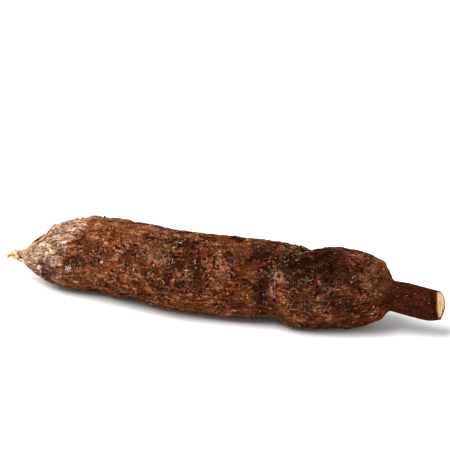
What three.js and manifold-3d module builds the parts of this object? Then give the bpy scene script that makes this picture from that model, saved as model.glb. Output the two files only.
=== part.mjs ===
// A whole cassava root as it is sold: a long brown tuber with a torn, fibrous tail, a slanting
// waist before its last swelling, and the woody stalk that it was cut from. It grew as one piece,
// so it is one solid. Units are millimetres. X runs from the tail to the cut stalk, -Y is the side
// seen in front, Z is up. The root lies on z = 0, and the origin is the middle of its footprint.

import * as THREE from "three";
import { mergeVertices } from "three/addons/utils/BufferGeometryUtils.js";
import Module from "manifold-3d";

// Sides of the round skin, and the distance between its rings along the skin
const SIDES = 46;
const RING_STEP = 3.8;

// The root's middle line and thickness: [x, y, z, radius]
const STATIONS = [
  [-182, 7.9, 18.6, 1.5],
  [-174, 7.9, 20, 1.8],
  [-169.5, 7.9, 21.2, 3],
  [-166.5, 7.9, 21.6, 4.2],
  [-162, 7.4, 20.4, 7.6],
  [-152, 6.9, 23.1, 14.4],
  [-133, 6.9, 27.4, 24.9],
  [-120, 7.4, 29, 28.4],
  [-98, 7.4, 30.1, 30.2],
  [-50, -1.1, 30.6, 31],
  [-27, -5.6, 30.6, 31.2],
  [13, -3.6, 30.1, 31.3],
  [54, -0.6, 30.3, 30],
  [74, -3.6, 30.3, 30.5],
  [88, -2.1, 29.8, 30.7],
  [101, -0.1, 29.7, 29.4],
  [113, 2.9, 30.2, 28.6],
  [122, 4.9, 30.4, 26.8],
  [130, 5.9, 30.9, 23.5],
  [136, 5.9, 30.6, 20.3],
  [140.5, 5.9, 28.9, 13.8],
  [145, 5.9, 28.2, 11.4],
  [154, 5.9, 27.3, 11.7],
  [173, 5.9, 25.1, 11.6],
  [181.5, 5.9, 25.4, 10.4],
];

// Lobes and long furrows: how many go round, their height, how fast they wander along X in
// radians a millimetre, and where they start
const WAVES = [
  { count: 2, height: 0.6, drift: 0.016, start: 0.8 },
  { count: 3, height: 0.5, drift: -0.021, start: 2.1 },
  { count: 5, height: 0.42, drift: 0.03, start: 4.0 },
  { count: 8, height: 0.4, drift: -0.035, start: 1.2 },
  { count: 13, height: 0.34, drift: 0.05, start: 5.1 },
  { count: 17, height: 0.26, drift: -0.04, start: 2.9 },
];
// The lobes grow in over the tail, and most of their height is lost on the smoother stalk
const TAIL = { start: -171, length: 40, tip: 0.8 };
const STALK = { start: 140, blend: 6, calm: 0.65 };

// The waist slants round the root, and the skin swells in a shoulder after it
const WAIST = { x: 68, rise: 10, back: 14, depth: 2.6, width: 6 };
const SHOULDER = { after: 18, height: 1.5, width: 9 };

// Creases that run part of the way round: middle, angle in degrees (90 is up, 180 is the front),
// how far they reach round in degrees, depth and width
const CREASES = [
  { x: -120, angle: 80, reach: 50, depth: 2.8, width: 4 },
  { x: -101, angle: 80, reach: 40, depth: 1.8, width: 4 },
  { x: -98, angle: 215, reach: 55, depth: 0.8, width: 3 },
  { x: -95, angle: 240, reach: 40, depth: 1.3, width: 5 },
  { x: -72, angle: 20, reach: 70, depth: 0.9, width: 3.5 },
  { x: -64, angle: 240, reach: 40, depth: 1.6, width: 9 },
  { x: -41, angle: 150, reach: 50, depth: 0.8, width: 3 },
  { x: -14, angle: 320, reach: 60, depth: 0.9, width: 3.5 },
  { x: 6, angle: 170, reach: 45, depth: 0.8, width: 3 },
  { x: 28, angle: 40, reach: 60, depth: 0.9, width: 3.2 },
  { x: 61, angle: 240, reach: 40, depth: 1.8, width: 7 },
  { x: 78, angle: 75, reach: 30, depth: 1.4, width: 4 },
  { x: 95, angle: 350, reach: 70, depth: 1, width: 3.5 },
  { x: 108, angle: 200, reach: 50, depth: 0.8, width: 3 },
  { x: 141, angle: 180, reach: 400, depth: 0.7, width: 2.4 },
];
// How far a crease wanders along X as it goes round
const CREASE_WANDER = 3;

// Scars of side roots, as round warts: x, angle in degrees, radius and height
const SCARS = [
  { x: 64, angle: 150, radius: 5, height: 2.6 },
  { x: 60, angle: 174, radius: 4, height: 1.4 },
  { x: -124, angle: 215, radius: 4.5, height: 1.6 },
  { x: -129, angle: 182, radius: 4, height: 1.3 },
  { x: 104, angle: 162, radius: 4, height: 1.4 },
  { x: 128, angle: 140, radius: 3.6, height: 1.4 },
  { x: -94, angle: 80, radius: 3.4, height: 1.5 },
  { x: -8, angle: 165, radius: 5, height: 1.2 },
  { x: -32, angle: 20, radius: 5, height: 2 },
  { x: 82, angle: 350, radius: 4.5, height: 2 },
  { x: -68, angle: 330, radius: 4, height: 1.6 },
];

// Small warts of the skin, spread evenly by irrational steps along it and round it. Their radius and
// height vary about these, by the share that swing gives each way
const WARTS = { count: 130, from: -162, to: 143, radius: 2.6, height: 0.9 };
const WART_STEPS = { along: 0.7549, round: 0.5698, size: 0.618 };
const WART_SWING = { radius: 0.3, height: 0.5 };

// The saw cut leans: how far its lower edge and its far edge stand out, as shares of the distance
// from the middle, how far its upper and lower edges bow back, as a share of the radius, and where
// along the stalk this begins
const CUT_LEAN = { down: 0.21, back: 0.04, bow: 0.2, start: 164 };

// The cut face of the stalk, from its edge to its middle: share of the radius, and how proud
const CUT_FACE = [
  { share: 0.95, proud: 0.2 },
  { share: 0.92, proud: -0.3 },
  { share: 0.88, proud: 0.3 },
  { share: 0.45, proud: 0.5 },
];

// Torn fibres at the tail: curled straps round the neck, each as points [x, y, z] from the neck
const STRAP = { width: 2.2, thickness: 1, steps: 8 };
const STRAPS = [
  [[3, 0, -1], [1.5, -1.6, 1.6], [0.6, -2.8, 4], [-1.6, -2.2, 4.8], [-3, -0.6, 3]],
  [[3, 0, 1], [1, -2, -1.4], [0, -2.8, -3.8], [-1.8, -1.6, -4.6], [-3, 0.4, -2.8]],
  [[3, -1, 0], [1.4, 1.6, 1], [0, 3.2, 2], [-2, 3.6, 0.8], [-3, 2.2, -0.8]],
  [[3, 1, 0], [1.4, 2, -1.4], [0.2, 2.8, -2.8], [-1.2, 2.6, -3.8]],
];

// Broken-off rootlets that still stand on the skin: x, angle in degrees, length, thickness
const ROOTLETS = [
  { x: 64, angle: 148, length: 2.2, thickness: 2.6 },
  { x: -32, angle: 22, length: 4, thickness: 2.2 },
  { x: 82, angle: 352, length: 3.6, thickness: 2.2 },
  { x: -68, angle: 332, length: 3, thickness: 2 },
  { x: -94, angle: 82, length: 1.2, thickness: 2 },
  { x: 116, angle: 300, length: 2.6, thickness: 1.8 },
];
// How deep a rootlet is sunk, its sides, and the radius of its two ends as a share of its thickness
const ROOTLET = { sunk: 4, sides: 7, tip: 0.32, foot: 0.6 };

// The block that the underside is cut flat with
const BELOW = { length: 600, width: 200, depth: 40 };

// Smooth curve through the stations: [y, z, radius] at x
function middleAt(x) {
  const last = STATIONS.length - 1;
  let i = 0;
  while (i < last - 1 && STATIONS[i + 1][0] < x) i += 1;
  const slope = (k, column) => {
    const before = STATIONS[Math.max(k - 1, 0)];
    const after = STATIONS[Math.min(k + 1, last)];
    return (after[column] - before[column]) / (after[0] - before[0]);
  };
  const [a, b] = [STATIONS[i], STATIONS[i + 1]];
  const step = b[0] - a[0];
  const t = (x - a[0]) / step;
  return [1, 2, 3].map(
    (column) =>
      a[column] * (1 + 2 * t) * (1 - t) ** 2 +
      slope(i, column) * step * t * (1 - t) ** 2 +
      b[column] * t * t * (3 - 2 * t) +
      slope(i + 1, column) * step * t * t * (t - 1),
  );
}

// 1 at the middle of a bump and 0 a few widths away
const hill = (distance, width) => Math.exp(-((distance / width) ** 2));

// The shortest way round from one angle to another, in radians
const turn = (from, to) => Math.atan2(Math.sin(to - from), Math.cos(to - from));

const degrees = THREE.MathUtils.degToRad;
const smoothstep = THREE.MathUtils.smoothstep;

const warts = Array.from({ length: WARTS.count }, (_, i) => {
  const swing = 2 * ((i * WART_STEPS.size) % 1) - 1;
  return {
    x: WARTS.from + (WARTS.to - WARTS.from) * ((i * WART_STEPS.along) % 1),
    angle: 360 * ((i * WART_STEPS.round) % 1),
    radius: WARTS.radius * (1 + WART_SWING.radius * swing),
    height: WARTS.height * (1 + WART_SWING.height * swing),
  };
});

// How far the skin stands out from the plain round shape at x and an angle in radians
function relief(x, angle, radius) {
  const body = smoothstep(x, TAIL.start, TAIL.start + TAIL.length);
  const stalk = smoothstep(x, STALK.start - STALK.blend, STALK.start + STALK.blend);
  const strength = body * (1 - STALK.calm * stalk);
  let height = 0;
  for (const wave of WAVES) {
    height += wave.height * strength * Math.cos(wave.count * angle + wave.drift * x + wave.start);
  }
  const waistX = WAIST.x + WAIST.rise * Math.sin(angle) + WAIST.back * Math.cos(angle);
  height -= WAIST.depth * hill(x - waistX, WAIST.width);
  height += SHOULDER.height * hill(x - waistX - SHOULDER.after, SHOULDER.width);
  for (const crease of CREASES) {
    const along = x - crease.x - CREASE_WANDER * Math.sin(2 * angle);
    const away = turn(degrees(crease.angle), angle) / degrees(crease.reach);
    height -= crease.depth * hill(along, crease.width) * hill(away, 1);
  }
  for (const wart of [...SCARS, ...warts]) {
    const round = turn(degrees(wart.angle), angle) * radius;
    height += wart.height * hill(Math.hypot(x - wart.x, round), wart.radius);
  }
  return height;
}

// A point of the skin, moved out along the way the skin faces
function skinPoint(x, angle) {
  const [y, z, radius] = middleAt(x);
  const steepness = middleAt(x + 0.5)[2] - middleAt(x - 0.5)[2];
  const facing = new THREE.Vector3(-steepness, Math.cos(angle), Math.sin(angle)).normalize();
  const [back, up] = [radius * Math.cos(angle), radius * Math.sin(angle)];
  const leaning = smoothstep(x, CUT_LEAN.start, STATIONS.at(-1)[0]);
  const lean = (CUT_LEAN.back * back - CUT_LEAN.down * up - (CUT_LEAN.bow * up * up) / radius) * leaning;
  return new THREE.Vector3(x + lean, y + back, z + up).addScaledVector(facing, relief(x, angle, radius));
}

const angles = Array.from({ length: SIDES }, (_, i) => (i / SIDES) * 2 * Math.PI);

// Places along X for the rings, a ring step apart as measured along the skin
function ringPlaces() {
  const fine = 0.2;
  const start = STATIONS[0][0];
  const end = STATIONS.at(-1)[0];
  const places = [start];
  let gone = 0;
  for (let x = start; x < end; x += fine) {
    gone += Math.hypot(fine, middleAt(x + fine)[2] - middleAt(x)[2]);
    if (gone >= RING_STEP) {
      places.push(x + fine);
      gone = 0;
    }
  }
  places[places.length - 1] = end;
  return places;
}

// The closed skin from the end of the tail to the middle of the cut face
function skin() {
  const rings = ringPlaces().map((x) => angles.map((angle) => skinPoint(x, angle)));
  const end = STATIONS.at(-1);
  const edge = rings.at(-1);
  const middle = new THREE.Vector3(end[0], end[1], end[2]);
  for (const { share, proud } of CUT_FACE) {
    rings.push(edge.map((p) => middle.clone().lerp(p, share).add(new THREE.Vector3(proud, 0, 0))));
  }
  const first = STATIONS[0];
  const points = rings.flat();
  const tailEnd = points.push(new THREE.Vector3(first[0] - TAIL.tip, first[1], first[2])) - 1;
  const cutMiddle = points.push(middle.clone().add(new THREE.Vector3(CUT_FACE.at(-1).proud, 0, 0))) - 1;
  const index = [];
  for (let side = 0; side < SIDES; side += 1) {
    const next = (side + 1) % SIDES;
    index.push(tailEnd, next, side);
    for (let ring = 0; ring < rings.length - 1; ring += 1) {
      const [a, b] = [ring * SIDES + side, ring * SIDES + next];
      const [c, d] = [a + SIDES, b + SIDES];
      index.push(a, b, d, a, d, c);
    }
    const lastRing = (rings.length - 1) * SIDES;
    index.push(lastRing + side, lastRing + next, cutMiddle);
  }
  const geometry = new THREE.BufferGeometry().setFromPoints(points);
  return geometry.setIndex(index);
}

// A flat strap of torn fibre that follows a curve from inside the neck
function strap(points) {
  const neck = STATIONS[1];
  const places = points.map(([x, y, z]) => new THREE.Vector3(neck[0] + x, neck[1] + y, neck[2] + z));
  const path = new THREE.CatmullRomCurve3(places);
  const section = new THREE.Shape([
    new THREE.Vector2(-STRAP.width / 2, -STRAP.thickness / 2),
    new THREE.Vector2(STRAP.width / 2, -STRAP.thickness / 2),
    new THREE.Vector2(STRAP.width / 2, STRAP.thickness / 2),
    new THREE.Vector2(-STRAP.width / 2, STRAP.thickness / 2),
  ]);
  return new THREE.ExtrudeGeometry(section, { extrudePath: path, steps: STRAP.steps });
}

// A broken rootlet, sunk into the skin where it grew
function rootlet({ x, angle, length, thickness }) {
  const foot = skinPoint(x, degrees(angle));
  const [y, z] = middleAt(x);
  const out = foot.clone().sub(new THREE.Vector3(x, y, z)).normalize();
  const whole = length + ROOTLET.sunk;
  const [tip, base] = [thickness * ROOTLET.tip, thickness * ROOTLET.foot];
  const geometry = new THREE.CylinderGeometry(tip, base, whole, ROOTLET.sides);
  geometry.applyQuaternion(new THREE.Quaternion().setFromUnitVectors(new THREE.Vector3(0, 1, 0), out));
  const middle = foot.addScaledVector(out, whole / 2 - ROOTLET.sunk);
  return geometry.translate(middle.x, middle.y, middle.z);
}

const wasm = await Module();
wasm.setup();

// A closed geometry as a solid that can be joined and cut
function solidOf(geometry) {
  const bare = geometry.clone();
  bare.deleteAttribute("normal");
  bare.deleteAttribute("uv");
  const merged = mergeVertices(bare, 1e-4);
  return new wasm.Manifold(
    new wasm.Mesh({
      numProp: 3,
      vertProperties: merged.attributes.position.array,
      triVerts: new Uint32Array(merged.index.array),
    }),
  );
}

function geometryOf(solid) {
  const { vertProperties, triVerts } = solid.getMesh();
  return new THREE.BufferGeometry()
    .setAttribute("position", new THREE.BufferAttribute(vertProperties, 3))
    .setIndex(new THREE.BufferAttribute(triVerts, 1));
}

// Everything that grew on the root is fused, and the underside is flat where it lies
function rootSolid() {
  let whole = solidOf(skin());
  for (const extra of [...STRAPS.map(strap), ...ROOTLETS.map(rootlet)]) {
    whole = whole.add(solidOf(extra));
  }
  const below = new THREE.BoxGeometry(BELOW.length, BELOW.width, BELOW.depth);
  return whole.subtract(solidOf(below.translate(0, 0, -BELOW.depth / 2)));
}

const cassavaRoot = new THREE.Mesh(
  geometryOf(rootSolid()),
  new THREE.MeshStandardMaterial({ color: 0x5e3319, roughness: 0.7, metalness: 0 }),
);
cassavaRoot.name = "cassava_root";

// The origin is the middle of the footprint
const box = new THREE.Box3().setFromObject(cassavaRoot);
const centre = box.getCenter(new THREE.Vector3());
cassavaRoot.geometry.translate(-centre.x, -centre.y, -box.min.z);

const root = new THREE.Group();
root.add(cassavaRoot);

export default root;
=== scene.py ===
# A cassava root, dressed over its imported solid: rough bark, a torn tail and a sawn stalk
import math
import random
from functools import partial

import bpy
import numpy as np
from mathutils import Matrix, Vector
from mathutils.bvhtree import BVHTree


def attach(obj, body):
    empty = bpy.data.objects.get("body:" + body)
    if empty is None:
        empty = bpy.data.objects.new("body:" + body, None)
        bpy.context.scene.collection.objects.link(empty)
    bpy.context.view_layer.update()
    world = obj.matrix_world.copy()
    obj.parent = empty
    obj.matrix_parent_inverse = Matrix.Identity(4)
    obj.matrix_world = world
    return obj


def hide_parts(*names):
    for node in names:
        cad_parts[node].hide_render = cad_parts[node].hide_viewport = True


mm = 0.001

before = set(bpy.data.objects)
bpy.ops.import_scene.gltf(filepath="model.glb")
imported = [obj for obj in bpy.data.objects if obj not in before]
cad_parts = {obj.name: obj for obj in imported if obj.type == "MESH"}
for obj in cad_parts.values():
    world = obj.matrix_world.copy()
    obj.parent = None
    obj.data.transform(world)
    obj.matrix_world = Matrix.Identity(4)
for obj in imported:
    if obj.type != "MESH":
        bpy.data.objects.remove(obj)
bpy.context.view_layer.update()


# Camera and studio

view = {
    "azimuth": 20, "elevation": 19,  # degrees, where the photographer stood
    "distance": 1150,  # mm from the point it looks at
    "lookAt": (8.9, 10.0, 67.0),  # mm
    "lens": 118.7, "sensor": 36,
}


def backwards(azimuth, elevation):
    # the way back from the root, and the turn of what looks at it from there
    a, e = math.radians(azimuth), math.radians(elevation)
    back = Vector((math.sin(a) * math.cos(e), -math.cos(a) * math.cos(e), math.sin(e)))
    return back, (-back).to_track_quat("-Z", "Y").to_euler()


def named(name):
    # what the last operator added, with its name
    bpy.context.object.name = name
    return bpy.context.object


def placeCamera():
    back, turn = backwards(view["azimuth"], view["elevation"])
    place = (Vector(view["lookAt"]) + back * view["distance"]) * mm
    bpy.ops.object.camera_add(location=place, rotation=turn)
    camera = named("photoCamera")
    camera.data.lens = view["lens"]
    camera.data.sensor_width = view["sensor"]
    camera.data.clip_start, camera.data.clip_end = 0.01, 60
    bpy.context.scene.camera = camera


studio = {
    "floorSize": 30, "floorDrop": -0.2,  # metres across, and mm below the root
    "floorTone": "F6F6F5", "worldTone": "FFFFFF",
    "worldStrength": 0.6,
    # azimuth, elevation, width in degrees, strength
    "keyLight": (-48, 55, 45, 3.8),
    "fillLight": (70, 30, 60, 0.4),
}


def linear(hexTone):
    # an sRGB hex tone as the linear colour that the sockets hold
    parts = [int(hexTone[i:i + 2], 16) / 255 for i in (0, 2, 4)]
    return (*[p / 12.92 if p <= 0.04045 else ((p + 0.055) / 1.055) ** 2.4 for p in parts], 1)


def addNode(tree, kind, values=(), operation=None, **settings):
    # a node with its settings; values fill its open inputs in order, or by name from a dictionary
    node = tree.nodes.new(kind if kind.startswith("Geometry") else "ShaderNode" + kind)
    if operation:
        node.operation = operation
    for name, setting in settings.items():
        setattr(node, name, setting)
    sockets = [way for way in node.inputs if way.enabled]
    if isinstance(values, dict):
        sockets, values = [node.inputs[name] for name in values], values.values()
    for socket, value in zip(sockets, values):
        if isinstance(value, bpy.types.Node):
            value = next(way for way in value.outputs if way.enabled)
        if isinstance(value, bpy.types.NodeSocket):
            tree.links.new(value, socket)
        else:
            socket.default_value = linear(value) if socket.type == "RGBA" else value
    return node


def newMaterial(name):
    material = bpy.data.materials.new(name)
    material.use_nodes = True
    material.node_tree.nodes.clear()
    return material, partial(addNode, material.node_tree)


def layCoats(add, colour, coats, **settings):
    # tones laid over each other: tone, pattern, where it begins and is full, and how thick
    for tone, pattern, low, high, thick in coats:
        mask = add("MapRange", [pattern, low, high, 0, thick], **settings)
        colour = add("Mix", [mask, colour, tone], data_type="RGBA")
    return colour


def paperSweep():
    # seamless white paper: matt, with nothing in it to catch the eye
    material, add = newMaterial("paperSweep")
    add("OutputMaterial", [add("BsdfPrincipled", {
        "Base Color": studio["floorTone"], "Roughness": 0.9, "Specular IOR Level": 0.1})])
    return material


def lightStudio():
    bpy.ops.mesh.primitive_plane_add(size=studio["floorSize"], location=(0, 0, studio["floorDrop"] * mm))
    floor = named("studioFloor")
    floor.data.materials.append(paperSweep())
    for name in ("keyLight", "fillLight"):
        azimuth, elevation, width, strength = studio[name]
        back, turn = backwards(azimuth, elevation)
        bpy.ops.object.light_add(type="SUN", location=back * 2, rotation=turn)
        lamp = named(name).data
        lamp.angle, lamp.energy = math.radians(width), strength
    world = bpy.data.worlds.new("studioWorld")
    world.use_nodes = True
    glow = world.node_tree.nodes["Background"].inputs
    glow["Color"].default_value = linear(studio["worldTone"])
    glow["Strength"].default_value = studio["worldStrength"]
    bpy.context.scene.world = world
    bpy.context.scene.view_settings.view_transform = "Standard"


placeCamera()
lightStudio()
print("camera and studio ready")


# Steps that several pieces share

def deselectAll():
    bpy.ops.object.select_all(action="DESELECT")


def editAll(action="SELECT"):
    bpy.ops.object.mode_set(mode="EDIT")
    bpy.ops.mesh.select_all(action=action)


def endEdit():
    bpy.ops.object.mode_set(mode="OBJECT")


def sortFaces(piece):
    # extrusion leaves no fixed order of faces and edges, so the mesh is built again in one
    mesh = piece.data
    points = [vertex.co.copy() for vertex in mesh.vertices]
    faces = sorted(tuple(polygon.vertices) for polygon in mesh.polygons)
    mesh.clear_geometry()
    mesh.from_pydata(points, [], faces)


def shapeWith(piece, kind, **settings):
    # a modifier with its settings, applied
    modifier = piece.modifiers.new(kind.lower(), kind)
    for name, setting in settings.items():
        setattr(modifier, name, setting)
    bpy.ops.object.modifier_apply(modifier=modifier.name)


def divide(piece, levels, **settings):
    shapeWith(piece, "SUBSURF", levels=levels, render_levels=levels, **settings)


def roughen(piece, noiseName, size, strength, **settings):
    # a cloudy noise pushes the surface in and out, in mm
    noise = bpy.data.textures.new(noiseName, "CLOUDS")
    noise.noise_scale = size * mm
    shapeWith(piece, "DISPLACE", texture=noise, strength=strength * mm, **settings)


def addDisc(name, sides, radius, place):
    # a disc that faces along the root, in mm
    deselectAll()
    bpy.ops.mesh.primitive_circle_add(
        vertices=sides, radius=radius * mm, fill_type="NGON", location=Vector(place) * mm,
        rotation=(0, math.pi / 2, 0))
    disc = named(name)
    bpy.ops.object.transform_apply()
    return disc


def joined(objects, name):
    deselectAll()
    for item in objects:
        item.select_set(True)
    bpy.context.view_layer.objects.active = objects[0]
    bpy.ops.object.join()
    whole = bpy.context.object
    whole.name = whole.data.name = name
    bpy.ops.object.transform_apply()
    return whole


def finished(piece, material):
    bpy.ops.object.shade_smooth()
    piece.data.materials.append(material)
    return piece


# The form of the root, the same as the solid's

form = {
    # the middle line and thickness from tail to stalk, in mm: x, y, z, radius
    "stations": [
        (-182, 7.9, 18.6, 1.5), (-174, 7.9, 20, 1.8), (-169.5, 7.9, 21.2, 3), (-166.5, 7.9, 21.6, 4.2),
        (-162, 7.4, 20.4, 7.6), (-152, 6.9, 23.1, 14.4), (-133, 6.9, 27.4, 24.9), (-120, 7.4, 29, 28.4),
        (-98, 7.4, 30.1, 30.2), (-50, -1.1, 30.6, 31), (-27, -5.6, 30.6, 31.2), (13, -3.6, 30.1, 31.3),
        (54, -0.6, 30.3, 30), (74, -3.6, 30.3, 30.5), (88, -2.1, 29.8, 30.7), (101, -0.1, 29.7, 29.4),
        (113, 2.9, 30.2, 28.6), (122, 4.9, 30.4, 26.8), (130, 5.9, 30.9, 23.5), (136, 5.9, 30.6, 20.3),
        (140.5, 5.9, 28.9, 13.8), (145, 5.9, 28.2, 11.4), (154, 5.9, 27.3, 11.7), (173, 5.9, 25.1, 11.6),
        (181.5, 5.9, 25.4, 10.4),
    ],
    # lobes and long furrows: count round, height, drift along x, start
    "waves": [
        (2, 0.6, 0.016, 0.8), (3, 0.5, -0.021, 2.1), (5, 0.42, 0.03, 4.0), (8, 0.4, -0.035, 1.2),
        (13, 0.34, 0.05, 5.1), (17, 0.26, -0.04, 2.9),
    ],
    "tailStart": -171, "stalkStart": 140,
    "waist": {"x": 68, "rise": 10, "back": 14, "depth": 2.6, "width": 6},
    "shoulder": {"height": 1.5, "after": 18, "width": 9},
    # creases: x, angle in degrees, reach in degrees, depth, width
    "creases": [
        (-120, 80, 50, 2.8, 4), (-101, 80, 40, 1.8, 4), (-98, 215, 55, 0.8, 3), (-95, 240, 40, 1.3, 5),
        (-72, 20, 70, 0.9, 3.5), (-64, 240, 40, 1.6, 9), (-41, 150, 50, 0.8, 3), (-14, 320, 60, 0.9, 3.5),
        (6, 170, 45, 0.8, 3), (28, 40, 60, 0.9, 3.2), (61, 240, 40, 1.8, 7), (78, 75, 30, 1.4, 4),
        (95, 350, 70, 1, 3.5), (108, 200, 50, 0.8, 3), (141, 180, 400, 0.7, 2.4),
    ],
    # scars of side roots: x, angle in degrees, radius, height
    "scars": [
        (64, 150, 5, 2.6), (60, 174, 4, 1.4), (-124, 215, 4.5, 1.6), (-129, 182, 4, 1.3),
        (104, 162, 4, 1.4), (128, 140, 3.6, 1.4), (-94, 80, 3.4, 1.5), (-8, 165, 5, 1.2),
        (-32, 20, 5, 2), (82, 350, 4.5, 2), (-68, 330, 4, 1.6),
    ],
    "warts": {"count": 130, "from": -162, "to": 143, "radius": 2.6, "height": 0.9},
    # how far the cut's lower and far edges stand out and its upper and lower ones bow back, as shares
    "cutLean": {"down": 0.21, "back": 0.04, "bow": 0.2, "start": 164},
    "moved": (0.1, 0, 0),  # mm, to centre the footprint, as the solid is
}
stations = np.array(form["stations"], float)
tailTip, stalkEnd = stations[0, 0], stations[-1, 0]


def smooth(value, low, high):
    t = np.clip((value - low) / (high - low), 0, 1)
    return t * t * (3 - 2 * t)


def hill(distance, width):
    return np.exp(-((distance / width) ** 2))


def middleAt(x):
    # a smooth curve through the stations: y, z and radius
    xs, rows = stations[:, 0], stations[:, 1:]
    slopes = np.empty_like(rows)
    slopes[1:-1] = (rows[2:] - rows[:-2]) / (xs[2:] - xs[:-2])[:, None]
    slopes[0] = (rows[1] - rows[0]) / (xs[1] - xs[0])
    slopes[-1] = (rows[-1] - rows[-2]) / (xs[-1] - xs[-2])
    x = np.clip(np.asarray(x, float), xs[0], xs[-1])
    i = np.clip(np.searchsorted(xs, x, side="left") - 1, 0, len(xs) - 2)
    step = xs[i + 1] - xs[i]
    t = ((x - xs[i]) / step)[..., None]
    step = step[..., None]
    row = (rows[i] * (1 + 2 * t) * (1 - t) ** 2 + slopes[i] * step * t * (1 - t) ** 2
           + rows[i + 1] * t * t * (3 - 2 * t) + slopes[i + 1] * step * t * t * (t - 1))
    return row[..., 0], row[..., 1], row[..., 2]


def turnBetween(start, end):
    return np.arctan2(np.sin(end - start), np.cos(end - start))


def awayFrom(degrees, angle):
    return turnBetween(math.radians(degrees), angle)


def waistPlace(angle):
    waist = form["waist"]
    return waist["x"] + waist["rise"] * np.sin(angle) + waist["back"] * np.cos(angle)


def hollowsAt(x, angle):
    # the waist and the creases, as depths
    depth = form["waist"]["depth"] * hill(x - waistPlace(angle), form["waist"]["width"])
    for place, middle, reach, deep, width in form["creases"]:
        away = awayFrom(middle, angle) / math.radians(reach)
        depth = depth + deep * hill(x - place - 3 * np.sin(2 * angle), width) * hill(away, 1)
    return depth


def scarsAt(x, angle, radius):
    return sum(
        tall * hill(np.hypot(x - place, awayFrom(middle, angle) * radius), size)
        for place, middle, size, tall in form["scars"])


def wartsAt(x, angle, radius):
    # spread evenly by irrational steps, as on the solid
    warts = form["warts"]
    height = 0
    for i in range(warts["count"]):
        place = warts["from"] + (warts["to"] - warts["from"]) * (i * 0.7549 % 1)
        middle = 2 * math.pi * (i * 0.5698 % 1)
        size = warts["radius"] * (0.7 + 0.6 * (i * 0.618 % 1))
        tall = warts["height"] * (0.5 + i * 0.618 % 1)
        height = height + tall * hill(np.hypot(x - place, turnBetween(middle, angle) * radius), size)
    return height


def reliefAt(x, angle, radius):
    body = smooth(x, form["tailStart"], form["tailStart"] + 40)
    stalk = smooth(x, form["stalkStart"] - 6, form["stalkStart"] + 6)
    height = 0
    for count, tall, drift, start in form["waves"]:
        height = height + tall * body * (1 - 0.65 * stalk) * np.cos(count * angle + drift * x + start)
    shoulder = form["shoulder"]
    height = height + shoulder["height"] * hill(x - waistPlace(angle) - shoulder["after"], shoulder["width"])
    return height - hollowsAt(x, angle) + scarsAt(x, angle, radius) + wartsAt(x, angle, radius)


def cutLeanAt(across, up, radius):
    lean = form["cutLean"]
    return lean["back"] * across - lean["down"] * up - lean["bow"] * up * up / radius


def skinPoint(x, angle):
    # a point of the skin in mm
    x, angle = np.asarray(x, float), np.asarray(angle, float)
    y, z, radius = middleAt(x)
    steepness = middleAt(x + 0.5)[2] - middleAt(x - 0.5)[2]
    facing = np.stack([-steepness, np.cos(angle), np.sin(angle)], -1)
    facing /= np.linalg.norm(facing, axis=-1, keepdims=True)
    across, up = radius * np.cos(angle), radius * np.sin(angle)
    lean = cutLeanAt(across, up, radius) * smooth(x, form["cutLean"]["start"], stalkEnd)
    place = np.stack([x + lean, y + across, z + up], -1)
    return place + form["moved"] + facing * reliefAt(x, angle, radius)[..., None]


# The skin

skin = {
    "sides": 28, "rings": 52, "levels": 3,  # the cage, and how often it is subdivided
    "girth": 30,  # mm, the radius at which the patterns have their real size
    "cordThin": 0.3,  # how much thinner the tail's cord is than the solid's
    "rimTurn": [(0.4, 0.965), (0.1, 0.92), (-1.2, 0.90)],  # past the cut in mm, and share of the radius
}


def alongSkin():
    # places from the tail to the cut, and how far each one is along the skin
    x = np.linspace(tailTip, stalkEnd, 4000)
    return x, np.concatenate([[0], np.cumsum(np.hypot(np.diff(x), np.diff(middleAt(x)[2])))])


def growCage():
    # rings evenly spaced along the skin
    x, gone = alongSkin()
    places = np.interp(np.linspace(0, gone[-1], skin["rings"] + 1), gone, x)
    y, z, radius = middleAt(places)
    root = addDisc("rootSkin", skin["sides"], radius[0], (places[0], y[0], z[0]))
    editAll()
    rings = [(places[i], y[i], z[i], radius[i]) for i in range(1, len(places))]
    rings += [(stalkEnd + out, y[-1], z[-1], radius[-1] * share) for out, share in skin["rimTurn"]]
    before = (places[0], y[0], z[0], radius[0])
    for ring in rings:
        step = [(new - old) * mm for new, old in zip(ring[:3], before[:3])]
        grow = ring[3] / before[3]
        bpy.ops.mesh.extrude_region_move(TRANSFORM_OT_translate={"value": step})
        bpy.ops.transform.resize(value=(grow, grow, grow), center_override=[v * mm for v in ring[:3]])
        before = ring
    endEdit()
    sortFaces(root)
    return root


def makeSkin():
    root = growCage()
    # the cap stays as it is, and the side is sculpted
    side = root.vertex_groups.new(name="side")
    ringCount = (skin["rings"] + 1) * skin["sides"]
    side.add(list(range(ringCount)), 1, "REPLACE")
    divide(root, skin["levels"], subdivision_type="SIMPLE")
    sculptSkin(root)
    editAll()
    bpy.ops.mesh.normals_make_consistent(inside=False)
    endEdit()
    bpy.ops.object.shade_smooth()
    return root


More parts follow.
